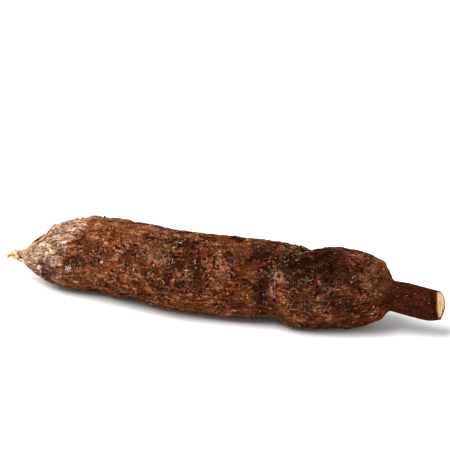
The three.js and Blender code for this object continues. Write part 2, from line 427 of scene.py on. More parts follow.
paint = {
    # dabs of a coat on the bark: x, angle in degrees, half length and half height in mm
    "ochreDab": [
        (-76, 131, 7, 5), (-89, 116, 7, 4), (-92, 190, 10, 8), (-60, 188, 9, 5), (-62, 204, 9, 5),
        (42, 152, 8, 4), (70, 186, 5, 7), (76, 203, 5, 6), (118, 138, 8, 3), (-45, 92, 16, 3),
    ],
    "curlyDab": [(-38, 136, 10, 8), (-28, 138, 9, 7), (20, 143, 11, 9), (95, 188, 9, 6), (-111, 186, 7, 5)],
    "paleDab": [
        (-111, 186, 3, 2.6), (-108, 212, 2, 2), (-81, 166, 1.5, 1.5), (-19, 114, 3, 1), (64, 147, 2, 2),
    ],
    "warmDab": [
        (-64, 187, 5, 6), (-49, 190, 7, 4), (-40, 166, 7, 5), (-24, 166, 5, 4), (-21, 142, 4, 6),
        (-8, 119, 4, 4), (-5, 131, 5, 5), (12, 126, 5, 12), (16, 158, 5, 16), (22, 188, 7, 7),
        (60, 155, 5, 12), (50, 137, 5, 5), (68, 140, 6, 5), (38, 163, 4, 5), (115, 168, 8, 6),
        (88, 166, 9, 6), (81, 182, 4, 4), (113, 116, 10, 12), (109, 202, 7, 7), (96, 214, 6, 4),
        (138, 105, 5, 9), (-74, 202, 7, 5), (-38, 208, 8, 4),
    ],
    # dark bark in places, and painted shadow across the top in others
    "darkDab": [
        (48, 118, 9, 8), (64, 106, 16, 18), (79, 112, 17, 17), (82, 128, 14, 13), (66, 126, 10, 9),
        (94, 127, 10, 15), (88, 118, 20, 20), (74, 134, 12, 10), (114, 140, 9, 6), (101, 166, 6, 10),
        (56, 150, 2.5, 18), (51, 174, 5, 14), (72, 149, 7, 6), (103, 132, 7, 6), (97, 148, 7, 8),
        (115, 193, 6, 5), (28, 166, 3, 3), (-6, 161, 7, 9), (2, 162, 6, 10), (0, 146, 6, 4), (-20, 108, 8, 4),
        (-15, 125, 10, 5), (-30, 121, 9, 4), (-18, 166, 5, 7), (-28, 178, 9, 6), (-60, 215, 12, 6),
        (-82, 146, 6, 7), (-87, 168, 6, 6), (-101, 177, 6, 6), (-105, 160, 4, 7), (-102, 128, 2, 6),
        (-112, 183, 4, 4), (-129, 178, 2.5, 6), (129, 208, 9, 6), (179, 150, 1.6, 22),
    ],
    # mostly painted shade, across the top and along the lower edges; some dim bark
    "dimDab": [
        (88, 134, 26, 24), (42, 144, 8, 14), (-86, 156, 12, 11), (-14, 150, 14, 16),
        (-106, 176, 7, 9), (-54, 150, 9, 8), (160, 158, 14, 4), (36, 128, 14, 8), (118, 170, 10, 5),
        (-146, 214, 8, 4), (-158, 205, 6, 3), (-121, 163, 5, 4), (-134, 186, 9, 4),
        (92, 232, 16, 5), (118, 246, 18, 5),
    ],
}


def sculptSkin(root):
    mesh = root.data
    count = len(mesh.vertices)
    flat = np.empty(count * 3)
    mesh.vertices.foreach_get("co", flat)
    points = flat.reshape(-1, 3) / mm
    weight = np.array([sum(g.weight for g in v.groups) for v in mesh.vertices])
    x = np.clip(points[:, 0], tailTip, stalkEnd)
    y, z, radius = middleAt(x)
    across, up = points[:, 1] - y, points[:, 2] - z
    angle = np.arctan2(up, across)
    share = np.clip(np.hypot(across, up) / radius, 0, 1)
    skinAt = skinPoint(x, angle)
    plain = np.stack([x, y + radius * np.cos(angle), z + radius * np.sin(angle)], -1)
    onSide = (weight > 0.999)[:, None]
    moved = np.where(onSide, skinAt, points + (skinAt - plain) * share[:, None])
    # the tail's cord is thin, so that its fibres stand out
    centre = np.stack([y, z], -1) + form["moved"][1:]
    thin = 1 - skin["cordThin"] * smooth(-x, 171, 175)
    moved[:, 1:] = centre + (moved[:, 1:] - centre) * thin[:, None]
    moved[:, 2] = np.maximum(moved[:, 2], 0)
    mesh.vertices.foreach_set("co", (moved * mm).ravel())

    # the skin's own coordinates: along it, and round a circle that narrows less than the root
    flowRadius = skin["girth"] * np.sqrt(np.clip(radius * share, 0.2, None) / skin["girth"])
    flow = np.stack(
        [np.interp(x, *alongSkin()), flowRadius * np.cos(angle), flowRadius * np.sin(angle)], -1)
    mesh.attributes.new("skinFlow", "FLOAT_VECTOR", "POINT").data.foreach_set("vector", (flow * mm).ravel())

    away = partial(awayFrom, angle=angle)

    def around(degrees, reach):
        return hill(away(degrees), math.radians(reach))

    def facing(degrees, low, high):
        return smooth(np.cos(angle - math.radians(degrees)), low, high)

    # zones, by mm along the root and degrees round it
    lower, under = facing(252, -0.4, 0.55), facing(262, 0.15, 0.6)
    bareFrom = 118 - 14 * around(110, 55) + 9 * np.cos(3 * angle) * (1 - around(140, 75))
    bareFrom = bareFrom + 7 * around(182, 30)
    pastEdge = x - stalkEnd - 0.2 + 0.7 * hill(away(195), 0.5)
    kept = np.clip(0.85 * hill(away(122), 0.5) + hill(away(262), 0.6), 0, 1)
    endless = 1 - 0.8 * smooth(x, 130, 140)
    plainSkin = hill(x + 94, 15) * around(208, 30)
    zones = {
        "tail": smooth(-x - bareFrom, -11, 11),
        # the scaly brown of the tail's lower side: partly its own colour, partly painted shade along the
        # lower edge
        "scaly": lower * smooth(x, -164, -124),
        "neck": hill(x + 166, 5.5) * (1 - 0.5 * lower),
        # painted shadow behind the straps round the neck, and in the gap under one strap
        "gap": hill(x + 172.0, 1.0),
        "hole": hill(x + 166.8, 1.5) * hill(away(200), 0.32),
        "stub": smooth(-x, 171.5, 174),
        "tip": smooth(-x, 178.4, 179.2),
        "worn": smooth(pastEdge, -0.2, 0.2) * (1 - kept),
        "stalk": smooth(x, 136, 154),
        "under": under,
        "drawn": np.maximum(np.maximum(under, 0.9 * plainSkin), 0.8 * smooth(-x, 102, 122)),
        "shoulder": np.maximum(hill(x - 116, 12) * around(100, 20), hill(x - 136, 9) * facing(118, 0.3, 0.8)),
        "collar": hill(x - 134, 8) * facing(200, -0.2, 0.7),
        # painted light: the top of the left body is painted lighter, where light falls on it
        "crown": hill(x + 96, 34) * facing(88, 0.4, 0.95),
        # the middle's dark umber is thinner underneath: painted light on the underside
        "middle": smooth(x, -78, -34) * (1 - 0.5 * under),
        # dark bark towards the stalk, less underneath: partly its own colour, partly painted shade across the
        # top
        "far": smooth(x, 52, 84) * (1 - 0.6 * facing(245, 0.2, 0.8)),
        "varied": 1 - 0.4 * smooth(x, -78, -34) - 0.3 * smooth(x, 52, 84),
        "quiet": np.maximum(0.5 * hill(x - 41, 17), 0.35 * smooth(x, 60, 90)) + 0.6 * plainSkin,
        # painted shade in the waist and the creases
        "hollow": np.clip(hollowsAt(x, angle) / 2.6, 0, 1) * smooth(x, -92, -72) * endless,
        "scar": np.clip(scarsAt(x, angle, radius) / 2, 0, 1),
    }
    for coat, dabs in paint.items():
        zones[coat] = np.zeros(count)
        for place, middle, halfLength, halfHeight in dabs:
            dab = hill(np.hypot((x - place) / halfLength, away(middle) * radius / halfHeight), 1.2)
            zones[coat] = np.maximum(zones[coat], dab)
    for zone, amount in zones.items():
        mesh.attributes.new(zone, "FLOAT", "POINT").data.foreach_set("value", amount)


root = makeSkin()
zoneNames = [item.name for item in root.data.attributes if item.data_type == "FLOAT"]
print("skin sculpted,", len(root.data.polygons), "faces")


# The bark: one set of patterns, shared by the relief and the material

bark = {
    "warpSize": 12, "warpReach": 2.4,  # mm: how the patterns wander
    "stretch": {"threads": 0.2, "cracks": 0.34},  # how slowly two of them change along the root
    # noises: the coordinates they read, spacing in mm, detail, roughness
    "noises": {
        "patch": ("bent", 16, 3, 0.55), "lump": ("bent", 8, 2, 0.5), "peel": ("bent", 14, 4, 0.58),
        "layer": ("cracks", 6, 4, 0.62), "thread": ("threads", 2.2, 3, 0.6), "hair": ("threads", 1.2, 2, 0.6),
        "crackle": ("cracks", 5, 2.5, 0.6), "wrinkle": ("threads", 4.5, 3, 0.6),
        "speck": ("bent", 1.8, 2, 0.65), "grit": ("bent", 1.1, 1, 0.6),
        "curling": ("bent", 3.0, 2, 0.6), "stain": ("cracks", 5.5, 4, 0.65), "moss": ("bent", 4.2, 4, 0.65),
        "drift": ("flow", 27, 3, 0.5), "cluster": ("flow", 15, 3, 0.6), "scatter": ("flow", 9, 2, 0.5),
    },
    # flakes that overlap: a noise cut into steps that rise slowly and drop sharply
    "steps": {"flaky": ("layer", 10)},
    # thin lines where a noise crosses its middle
    "lines": {"crack": ("crackle", 0.02), "fold": ("wrinkle", 0.034), "curl": ("curling", 0.02)},
    # masks that rise between two values of a pattern
    "masks": {
        "cracked": ("drift", 0.42, 0.56), "curled": ("cluster", 0.52, 0.62),
        "paleFleck": ("speck", 0.64, 0.7), "scattered": ("scatter", 0.46, 0.58),
        "ochrePatch": ("drift", 0.56, 0.62), "lip": ("flaky", 0.8, 0.96),
        "seam": ("flaky", 0.2, 0.03), "speckled": ("speck", 0.42, 0.56), "peeled": ("peel", 0.52, 0.55),
        "lipped": ("patch", 0.44, 0.56), "rusty": ("stain", 0.52, 0.62), "plummy": ("stain", 0.46, 0.36),
        "mossy": ("moss", 0.53, 0.64),
    },
    # how far each pattern stands out in mm; the swells are lower on smooth skin
    "swells": {"lump": 1.5, "patch": 1.7}, "smoothness": 0.65,
    "relief": {"speck": 0.35, "thread": 1.2, "flaky": 0.35, "peeled": -0.3},
    # lines that stand out or sink in: where, and how far in mm
    "ridges": {"crack": ("cracked", -0.5), "curl": ("curled", 0.3), "fold": ("drawn", -0.6)},
    "fine": {"speck": 0.9, "grit": 0.5},  # mm, too fine for the mesh
    # how strongly each pattern turns a tone dark or light
    "mottle": {
        "speck": 1.8, "grit": 1.2, "thread": 2.1, "hair": 1.3, "lump": 1.0, "patch": 0.9, "flaky": 0.35,
    },
    "streaks": {"thread": 3.1, "hair": 2.1, "speck": 1.0, "grit": 0.4, "patch": 1.1, "flaky": 0.3},
    "sheets": {"wrinkle": 2.0, "thread": 1.8, "hair": 1.3, "speck": 0.8, "grit": 0.4, "patch": 1.4},
    "spots": {"speck": 1.2, "grit": 1.1, "lump": 1.0, "curling": 1.0, "thread": 0.5},
    "calm": 0.7,  # how much of that the smooth skin under peeled paper loses
    # tones from the darkest gaps to the palest edges
    "tones": {
        "russet": ("240903", "4A1A0A", "6E3216", "8C4E2A", "B8845C"),
        "umber": ("0A0200", "1E0802", "3C1106", "64260E", "A65A32"),
        "dusk": ("0A0200", "180602", "2E0E05", "4A1A09", "824424"),
        "ochre": ("4A200E", "6C3819", "864C28", "9A623C", "BC8A62"),
        "bare": ("4A2614", "A26E4C", "D0A686", "E4C0A4", "F8E2CC"),
        "rust": ("2A0A03", "58200A", "8C3C16", "A8602E", "C89468"),
        "moss": ("160C04", "38240E", "60482A", "88704A", "B29E78"),
        "plum": ("1E0909", "421E1A", "6A3C34", "906658", "BC9C8C"),
        "scale": ("180602", "3E1A0E", "6A3C28", "94684E", "D0AC94"),
        "stalkBark": ("100402", "260C05", "3E180A", "582812", "845036"),
        "shoulderBark": ("34150A", "5E321E", "804C34", "9A6A50", "C8A08A"),
    },
    "toneStops": (0, 0.25, 0.5, 0.75, 1),
    # masks of all but some zones: the first, its share, and others
    "outside": {"rough": ("under", 0.6, "stalk", "quiet"), "barky": ("tail", 0.55, "worn", "tip")},
    # masks with their edges torn into flakes: zone, how ragged and how soft
    "ragged": {
        "bareEdge": ("tail", 4.2, 0.24), "scaleEdge": ("scaly", 5, 0.16), "middleEdge": ("middle", 4, 0.2),
        "farEdge": ("far", 4, 0.25), "ochreEdge": ("ochreDab", 2.5, 0.12), "curlyEdge": ("curlyDab", 4, 0.1),
        "paleEdge": ("paleDab", 4, 0.1), "warmEdge": ("warmDab", 5, 0.2), "darkEdge": ("darkDab", 4, 0.3),
        "dimEdge": ("dimDab", 5, 0.3),
        "shoulderEdge": ("shoulder", 4, 0.3), "stalkEdge": ("stalk", 2, 0.2),
    },
    # coats in the order that they lie: a set of tones or one tone, how thick, and where
    "coats": [
        # umber is laid thinner on the middle's underside, which paints light there
        ("umber", 1, ["middleEdge"]), ("ochre", 0.5, ["ochrePatch"]), ("ochre", 0.4, ["peeled"]),
        # dusk here is partly painted shade on the top of the far end; ochre on the crown is painted light
        ("dusk", 0.85, ["farEdge"]), ("ochre", 0.7, ["crown"]),
        ("rust", 0.6, ["rusty", "varied"]), ("plum", 0.25, ["plummy", "varied"]),
        ("moss", 0.22, ["mossy", "rough", "varied"]), ("shoulderBark", 0.9, ["shoulderEdge"]),
        ("russet", 0.7, ["collar"]), ("russet", 0.75, ["warmEdge"]), ("ochre", 0.85, ["ochreEdge"]),
        ("140603", 0.5, ["fold"]),
        # the scale coat on the tail's lower side is partly painted shade along its lower edge
        ("bare", 1, ["bareEdge"]), ("scale", 1, ["bareEdge", "scaleEdge"]),
        ("plum", 0.4, ["bareEdge", "plummy"]), ("plum", 0.3, ["bareEdge", "scaleEdge"]),
        ("4A2A18", 0.85, ["bareEdge", "fold"]),
        # the third coat here is painted shadow behind the straps
        ("FFC69C", 0.9, ["neck"]), ("C07850", 0.8, ["stub"]), ("6A3A20", 0.5, ["gap"]),
        # the 140501 coat is dark bark in places and painted shadow in others
        ("E2C898", 0.9, ["tip"]), ("stalkBark", 1, ["stalkEdge"]), ("140501", 0.7, ["darkEdge"]),
        # the 1A0702 coat is mostly painted shade, with some dim bark
        ("1A0702", 0.4, ["dimEdge"]), ("D8904E", 0.85, ["worn"]),
        ("120503", 0.65, ["seam", "barky"]), ("0C0201", 0.85, ["crack", "cracked", "barky"]),
        ("A87450", 0.45, ["lip", "lipped", "rough"]),
        ("B88058", 0.5, ["curl", "curled", "rough"]), ("C8A484", 0.6, ["curl", "curlyEdge", "rough"]),
        ("D8B292", 0.8, ["paleFleck", "scattered", "rough"]),
        ("B08878", 0.5, ["paleFleck", "scattered", "stalk"]),
        ("D2C4AC", 0.8, ["paleEdge", "speckled"]),
        # 180905 is painted shade in the hollows; 120503 is painted shadow in a gap under a strap
        ("180905", 0.6, ["hollow"]), ("120503", 0.9, ["hole"]), ("A87A5E", 0.6, ["scar", "speckled"]),
    ],
}


def barkPatterns(add, flow):
    # the patterns that both the relief and the colour follow
    warp = add("TexNoise", [flow, 1000 / bark["warpSize"], 3, 0.6]).outputs["Color"]
    shift = add("VectorMath", [warp, (0.5, 0.5, 0.5)], "SUBTRACT")
    reach = 2 * bark["warpReach"] * mm
    bent = add("VectorMath", [shift, (reach, reach, reach), flow], "MULTIPLY_ADD")
    places = {"flow": flow, "bent": bent}
    for name, slow in bark["stretch"].items():
        places[name] = add("VectorMath", [bent, (slow, 1, 1)], "MULTIPLY")
    found = {}
    for name, (place, spacing, detail, rough) in bark["noises"].items():
        found[name] = add("TexNoise", [places[place], 1000 / spacing, detail, rough])
    for name, (pattern, count) in bark["steps"].items():
        stair = add("Math", [found[pattern], count], "MULTIPLY")
        found[name] = add("Math", [stair], "FRACT")
    for name, (pattern, width) in bark["lines"].items():
        away = add("Math", [add("Math", [found[pattern], 0.5], "SUBTRACT")], "ABSOLUTE")
        found[name] = add("MapRange", [away, width / 4, width, 1, 0], interpolation_type="SMOOTHSTEP")
    for name, (pattern, low, high) in bark["masks"].items():
        found[name] = add("MapRange", [found[pattern], low, high, 0, 1], interpolation_type="SMOOTHSTEP")
    return found


def weighed(add, found, weights, middle):
    # the patterns added up, each by its weight, round a middle value
    total = middle - sum(weights.values()) / 2
    for name, weight in weights.items():
        total = add("Math", [found[name], weight, total], "MULTIPLY_ADD")
    return total


def barkHeight(add, found):
    # how far the bark stands out, in metres
    swell = weighed(add, found, bark["swells"], 0)
    found["level"] = add("Math", [found["drawn"], -bark["smoothness"], 1], "MULTIPLY_ADD")
    texture = weighed(add, found, bark["relief"], 0)
    height = add("Math", [swell, found["level"], texture], "MULTIPLY_ADD")
    for line, (where, tall) in bark["ridges"].items():
        there = add("Math", [found[line], found[where]], "MULTIPLY")
        height = add("Math", [there, tall, height], "MULTIPLY_ADD")
    firm = add("Math", [found["stalk"], found["stub"]], "MAXIMUM")
    calm = add("Math", [firm, -0.65 * mm, mm], "MULTIPLY_ADD")
    return add("Math", [height, calm], "MULTIPLY")


def roughenSkin(root):
    tree = bpy.data.node_groups.new("barkRelief", "GeometryNodeTree")
    tree.interface.new_socket("Geometry", in_out="INPUT", socket_type="NodeSocketGeometry")
    tree.interface.new_socket("Geometry", in_out="OUTPUT", socket_type="NodeSocketGeometry")
    add = partial(addNode, tree)
    inside, outside = tree.nodes.new("NodeGroupInput"), tree.nodes.new("NodeGroupOutput")
    flow = add("GeometryNodeInputNamedAttribute", ["skinFlow"], data_type="FLOAT_VECTOR")
    found = barkPatterns(add, flow)
    for zone in ("stalk", "stub", "drawn"):
        found[zone] = add("GeometryNodeInputNamedAttribute", [zone], data_type="FLOAT")
    height = barkHeight(add, found)
    offset = add("VectorMath", [add("GeometryNodeInputNormal"), height], "SCALE")
    moved = add("GeometryNodeSetPosition", {"Geometry": inside, "Offset": offset})
    floor = add("VectorMath", [add("GeometryNodeInputPosition"), (-1, -1, 0)], "MAXIMUM")
    rested = add("GeometryNodeSetPosition", {"Geometry": moved, "Position": floor})
    tree.links.new(rested.outputs[0], outside.inputs[0])
    shapeWith(root, "NODES", node_group=tree)


def corkyBark():
    # cassava's corky bark: thin brown paper over pink-beige skin, cracked and flaking, quite matt
    material, add = newMaterial("corkyBark")
    found = barkPatterns(add, add("Attribute", attribute_name="skinFlow").outputs["Vector"])
    for zone in zoneNames:
        found[zone] = add("Attribute", attribute_name=zone).outputs["Fac"]
    for name, (zone, spread, soft) in bark["ragged"].items():
        torn = add("Math", [found["peel"], spread, 1 - spread / 2], "MULTIPLY_ADD")
        torn = add("Math", [torn, found[zone]], "MULTIPLY")
        found[name] = add("MapRange", [torn, 0.5 - soft, 0.5 + soft, 0, 1], interpolation_type="SMOOTHSTEP")
    for name, (first, share, *others) in bark["outside"].items():
        inside = add("Math", [found[first], share], "MULTIPLY")
        for zone in others:
            inside = add("Math", [inside, found[zone]], "MAXIMUM")
        found[name] = add("Math", [1, inside], "SUBTRACT")

    # dark gaps and pale edges: scaly above, drawn out in streaks below, spotted on the stalk
    share = weighed(add, found, bark["mottle"], 0.5)
    for zone, pattern in (("drawn", "streaks"), ("tail", "sheets"), ("stalk", "spots")):
        share = add("Mix", [found[zone], share, weighed(add, found, bark[pattern], 0.5)], data_type="FLOAT")
    calm = add("Math", [found["peeled"], bark["calm"]], "MULTIPLY")
    for where in (calm, found["quiet"]):
        share = add("Mix", [where, share, 0.5], data_type="FLOAT")
    for name, tones in bark["tones"].items():
        found[name] = add("ValToRGB", [share])
        ramp = found[name].color_ramp.elements
        for stop in bark["toneStops"][1:-1]:
            ramp.new(stop)
        for element, stop, tone in zip(ramp, bark["toneStops"], tones):
            element.position, element.color = stop, linear(tone)
    colour = found["russet"]
    for coat, thick, where in bark["coats"]:
        mask = thick
        for name in where:
            mask = add("Math", [mask, found[name]], "MULTIPLY")
        colour = add("Mix", [mask, colour, found.get(coat, coat)], data_type="RGBA")

    height = barkHeight(add, found)
    for name, tall in bark["fine"].items():
        grain = add("Math", [found[name], found["level"]], "MULTIPLY")
        height = add("Math", [grain, tall * mm, height], "MULTIPLY_ADD")
    dull = add("MapRange", [found["patch"], 0.35, 0.65, 0.66, 0.84])
    bump = add("Bump", {"Strength": 1.0, "Distance": 1.0, "Height": height})
    add("OutputMaterial", [add("BsdfPrincipled", {
        "Base Color": colour, "Roughness": dull, "Specular IOR Level": 0.03, "Normal": bump})])
    return material


roughenSkin(root)
root.data.materials.append(corkyBark())
skinTree = BVHTree.FromObject(root, bpy.context.evaluated_depsgraph_get())
print("bark relief and material done")


# Torn fibres at the tail

straps = {
    "axis": (7.9, 20.4),  # mm, y and z of the neck that they curl round
    # straps from end to end: x, angle in degrees, distance from the axis and half width in mm
    "loops": [
        [(-174.8, 55, 3.6, 0.5), (-174.6, 90, 4.2, 0.8), (-173.4, 125, 4.2, 1.2), (-171.7, 155, 4.1, 1.5),
         (-170.2, 185, 4.3, 1.6), (-168.9, 212, 4.7, 1.7), (-167.9, 232, 5.0, 1.6), (-167.3, 250, 5.0, 1.0)],
        [(-176.9, 95, 2.4, 0.6), (-176.6, 130, 3.0, 1.0), (-175.7, 160, 3.3, 1.2), (-174.9, 190, 3.2, 1.2),
         (-174.4, 220, 3.5, 1.0), (-174.2, 250, 4.0, 0.6)],
        [(-170.2, 290, 4.2, 0.8), (-171.6, 320, 4.0, 1.2), (-173.0, 355, 4.1, 1.4), (-174.0, 30, 4.1, 1.1),
         (-174.4, 65, 3.6, 0.6)],
        [(-168.8, 10, 4.4, 0.7), (-170.0, 45, 4.4, 1.1), (-171.4, 80, 3.9, 1.2), (-172.8, 112, 3.2, 0.8)],
        [(-173.6, 60, 2.6, 1.0), (-173.0, 110, 2.7, 1.4), (-172.6, 160, 2.6, 1.5), (-172.4, 210, 2.8, 1.5),
         (-172.6, 260, 3.0, 1.3), (-173.0, 310, 2.8, 1.0)],
    ],
    "thickness": 0.95, "cup": 0.25, "wave": 0.18,  # mm: how thick, how far the edges bend in, and waves
    "knob": (-181.1, 7.9, 18.5, 1.9),  # the swollen end of the middle cord: x, y, z, radius
    "fray": (0.9, 0.6),  # mm, how fine and how deep
}
threads = {
    "count": 10, "x": (-174, -168), "length": (2, 4.5), "radius": 0.16,  # mm
    "away": 2.6, "spread": (0.1, 0.5), "sag": 0.15,  # mm from the axis, and shares of the length
    "turn": 40,  # degrees round the neck
    "widths": (1.4, 1.2, 1, 0.5),
}


def roundNeck(x, degrees, away):
    # a point of a strap, in metres, and the way outwards from the neck
    out = Vector((0, math.cos(math.radians(degrees)), math.sin(math.radians(degrees))))
    return (Vector((x, *straps["axis"])) + out * away) * mm, out


def makeStrap(name, knots):
    # a flat grid laid along the knots, then given its thickness
    deselectAll()
    bpy.ops.mesh.primitive_grid_add(x_subdivisions=6 * (len(knots) - 1), y_subdivisions=3, size=1)
    strap = named(name)
    rows = np.array(knots, float)
    rows[:, 1] = np.degrees(np.unwrap(np.radians(rows[:, 1])))
    for vertex in strap.data.vertices:
        t, side = (vertex.co.x + 0.5) * (len(knots) - 1), vertex.co.y * 2
        before, here, after = [
            [float(np.interp(t + step, range(len(knots)), rows[:, k])) for k in range(4)]
            for step in (-0.2, 0, 0.2)]
        place, out = roundNeck(*here[:3])
        along = roundNeck(*after[:3])[0] - roundNeck(*before[:3])[0]
        across = along.cross(out).normalized()
        cup = straps["wave"] * math.sin(5 * t + 2 * side) - straps["cup"] * side * side
        vertex.co = place + across * side * here[3] * mm + out * cup * mm
    shapeWith(strap, "SOLIDIFY", thickness=straps["thickness"] * mm, offset=0)
    divide(strap, 1)
    return strap


def bendThread(name, points, widths, radius, steps=6):
    deselectAll()
    bpy.ops.curve.primitive_bezier_curve_add()
    data = named(name).data
    data.dimensions, data.resolution_u, data.use_fill_caps = "3D", steps, True
    data.bevel_depth, data.bevel_resolution = radius * mm, 0
    knots = data.splines[0].bezier_points
    knots.add(len(points) - 2)
    for knot, place, width in zip(knots, points, widths):
        knot.co = Vector(place) * mm
        knot.handle_left_type = knot.handle_right_type = "AUTO"
        knot.radius = width
    bpy.ops.object.convert(target="MESH")
    return bpy.context.object


def makeTailFibres():
    strips = [makeStrap(f"strap{i}", knots) for i, knots in enumerate(straps["loops"])]
    x, y, z, radius = straps["knob"]
    bpy.ops.mesh.primitive_ico_sphere_add(
        subdivisions=3, radius=radius * mm, location=(x * mm, y * mm, z * mm))
    bpy.ops.transform.resize(value=(0.85, 0.9, 1))
    strips.append(bpy.context.object)
    dice = random.Random(7)
    for i in range(threads["count"]):
        turn, long_ = dice.uniform(0, 360), dice.uniform(*threads["length"])
        x, spread = dice.uniform(*threads["x"]), dice.uniform(*threads["spread"])
        points = []
        for t in np.linspace(0, 1, len(threads["widths"])):
            away = threads["away"] + spread * long_ * t
            place, _ = roundNeck(x - long_ * t, turn + threads["turn"] * t, away)
            points.append(place / mm - Vector((0, 0, threads["sag"] * long_ * t * t)))
        strips.append(bendThread(f"thread{i}", points, threads["widths"], threads["radius"]))
    fibres = joined(strips, "tailFibres")
    # the threads' caps are welded on, so that the fray doesn't part them
    editAll()
    bpy.ops.mesh.remove_doubles(threshold=0.001 * mm)
    endEdit()
    roughen(fibres, "frayNoise", *straps["fray"])
    return finished(fibres, tornFibre())


def tornFibre():
    # dried inner bark torn into straps: cream and ochre threads with dark between them, matt
    material, add = newMaterial("tornFibre")
    place = add("TexCoord").outputs["Object"]
    blotch = add("TexNoise", [place, 1000 / 3.0, 2, 0.5])
    drawn = add("VectorMath", [place, (1, 0.5, 0.3)], "MULTIPLY")
    strands = add("TexNoise", [drawn, 1000 / 0.8, 3, 0.7])
    tone = layCoats(add, "E2C898", [("96603C", blotch, 0.5, 0.66, 1), ("6A3E20", strands, 0.44, 0.34, 0.7)])
    bump = add("Bump", {"Strength": 0.9, "Distance": 0.4 * mm, "Height": strands})
    add("OutputMaterial", [add("BsdfPrincipled", {
        "Base Color": tone, "Roughness": 0.85, "Specular IOR Level": 0.05, "Normal": bump})])
    return material


tailFibres = makeTailFibres()
print("tail fibres done")


# The sawn face of the stalk

sawn = {
    "sides": 56, "radius": 10.4, "place": (180.9, 5.9, 25.4),
    # rings from the edge inwards: share of the radius, and how proud in mm
    "rings": [(0.97, 0.5), (0.9, 0.75), (0.8, 0.8), (0.6, 0.9), (0.4, 0.95), (0.2, 0.9), (0.07, 0.7)],
    "sawMark": (1.4, 0.25),  # mm, how fine and how deep
    # spacings in mm of saw marks and pores, and how much slower the marks change upwards
    "markSize": 3.6, "markStretch": 0.12, "poreSize": 0.9,
    "heart": (9.7, 8.9, 0.4, 1.2),  # mm, the wood's half width and height, how it leans, and its z
    "pith": (-2.6, 1.6, 2.4, 4.4),  # the tan pith: y and z from the middle, half width and half height
    "pinhole": (1.2, -4.9, 1.3),  # a dark borehole: y and z from the middle, radius
}
sawnCentre = [v * mm for v in sawn["place"]]


def makeSawnFace():
    face = addDisc("sawnFace", sawn["sides"], sawn["radius"], sawn["place"])
    editAll()
    # rings towards the pith
    before, proud = 1.0, 0.0
    for share, out in sawn["rings"]:
        bpy.ops.mesh.extrude_region_move(TRANSFORM_OT_translate={"value": ((out - proud) * mm, 0, 0)})
        grow = share / before
        bpy.ops.transform.resize(value=(1, grow, grow), center_override=sawnCentre)
        before, proud = share, out
    endEdit()
    sortFaces(face)
    divide(face, 2)
    roughen(face, "sawNoise", *sawn["sawMark"], direction="X")
    # the cut leans and its edge follows the stalk's
    for vertex in face.data.vertices:
        up, across = vertex.co.z - sawnCentre[2], vertex.co.y - sawnCentre[1]
        out = math.hypot(up, across) / (sawn["radius"] * mm)
        angle = math.atan2(up, across)
        swell = float(reliefAt(np.array(stalkEnd), np.array(angle), sawn["radius"])) * mm * out * out
        lean = form["moved"][0] * mm + cutLeanAt(across, up, sawn["radius"] * mm)
        vertex.co += Vector((lean, math.cos(angle) * swell, math.sin(angle) * swell))
    return finished(face, sawnWood())


def sawnWood():
    # sawn end of the woody stalk: cream wood with saw streaks and pores, orange under the bark, matt
    material, add = newMaterial("sawnWood")
    place = add("TexCoord").outputs["Object"]
    around = add("VectorMath", [place, sawnCentre], "SUBTRACT")
    flat = add("VectorMath", [around, (0, 1, 1)], "MULTIPLY")
    upwards = add("VectorMath", [around, (0.1, 1, sawn["markStretch"])], "MULTIPLY")
    marks = add("TexNoise", [upwards, 1000 / sawn["markSize"], 3, 0.65])
    pores = add("TexNoise", [around, 1000 / sawn["poreSize"], 1, 0.5])
    y, z, radius = sawn["pinhole"]
    fromHole = add("VectorMath", [flat, (0, y * mm, z * mm)], "DISTANCE").outputs["Value"]
    wide, high, lean, raised = sawn["heart"]
    lifted = add("VectorMath", [flat, (0, 0, -raised * mm)], "ADD")
    across = (0, 1 / (wide * mm), -lean / (wide * mm))
    acrossHeart = add("VectorMath", [lifted, across], "DOT_PRODUCT")
    upHeart = add("VectorMath", [lifted, (0, 0, 1 / (high * mm))], "DOT_PRODUCT")
    inHeart = add("CombineXYZ", [acrossHeart, upHeart])
    rim = add("VectorMath", [inHeart], "LENGTH").outputs["Value"]
    y, z, *pith = sawn["pith"]
    inPith = add("VectorMath", [flat, (0, -y * mm, -z * mm)], "ADD")
    inPith = add("VectorMath", [inPith, (0, *[1 / (v * mm) for v in pith])], "MULTIPLY")
    pithShare = add("VectorMath", [inPith], "LENGTH").outputs["Value"]
    colour = layCoats(add, "D8B07A", [
        ("F0D2A2", marks, 0.46, 0.58, 1), ("B07C46", marks, 0.44, 0.32, 0.7),
        ("8A5A30", pores, 0.36, 0.28, 0.5), ("A07840", pithShare, 1.0, 0.3, 0.8),
        ("D8884A", rim, 0.68, 0.94, 0.9), ("4A2412", rim, 0.94, 1.03, 0.92),
        ("241008", fromHole, radius * 1.5 * mm, radius * 0.8 * mm, 0.9),
    ], interpolation_type="SMOOTHSTEP")
    bump = add("Bump", {"Strength": 0.8, "Distance": 0.3 * mm, "Height": marks})
    add("OutputMaterial", [add("BsdfPrincipled", {
        "Base Color": colour, "Roughness": 0.8, "Specular IOR Level": 0.08, "Normal": bump})])
    return material


sawnFace = makeSawnFace()
print("sawn face done")


# Stubs of side roots

stubs = {
    # x, angle in degrees, length and thickness in mm, the same as the solid's
    "places": [
        (64, 148, 2.2, 2.6), (-32, 22, 4, 2.2), (82, 352, 3.6, 2.2), (-68, 332, 3, 2),
        (-94, 82, 1.2, 2), (116, 300, 2.6, 1.8),
    ],
    "root": 4,  # mm, how deep a stub is set in the skin
    "taper": (0.75, 0.42),  # radii at the foot and the top, as shares of the thickness
    "hollow": [(0.12, 0.15), (0.1, 0.5)],  # the broken top: share of the thickness, and depth in mm
    "rough": (1.1, 0.7),  # mm, how fine and how deep
}


